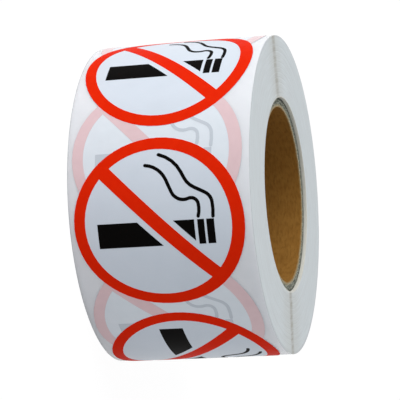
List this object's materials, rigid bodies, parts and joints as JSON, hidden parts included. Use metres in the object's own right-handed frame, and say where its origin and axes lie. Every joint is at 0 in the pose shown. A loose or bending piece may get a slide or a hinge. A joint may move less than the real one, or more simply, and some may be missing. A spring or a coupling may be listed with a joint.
{
  "type": "roll of no-smoking labels",
  "caption": "Roll of round adhesive no-smoking labels wound on a cardboard core, each printed with a crossed-out cigarette in a red ring.",
  "frame": {"origin": "on the roll's axis, at the lower end of the core's bore, in the plane of the end face it stands on", "axes": "+Z along the roll's axis, towards the end where the core is set back; -Y towards the front label, whose sign has its right side at +Z and its upper side at -X"},
  "size_m": [0.0737, 0.0736, 0.0408],
  "materials": {
    "core_board": "matte",
    "backing_web": "satin",
    "label_face": "gloss",
    "red_ink": "gloss",
    "black_ink": "gloss"
  },
  "bodies": {
    "root": {"core": "core_board", "wound_web": "backing_web", "label_1": "label_face", "label_2": "label_face", "label_3": "label_face", "label_4": "label_face", "label_5": "label_face", "label_6": "label_face", "red_print_1": "red_ink", "red_print_2": "red_ink", "red_print_3": "red_ink", "red_print_4": "red_ink", "red_print_5": "red_ink", "red_print_6": "red_ink", "black_print_1": "black_ink", "black_print_2": "black_ink", "black_print_3": "black_ink", "black_print_4": "black_ink", "black_print_5": "black_ink", "black_print_6": "black_ink"}
  },
  "joints": []
}
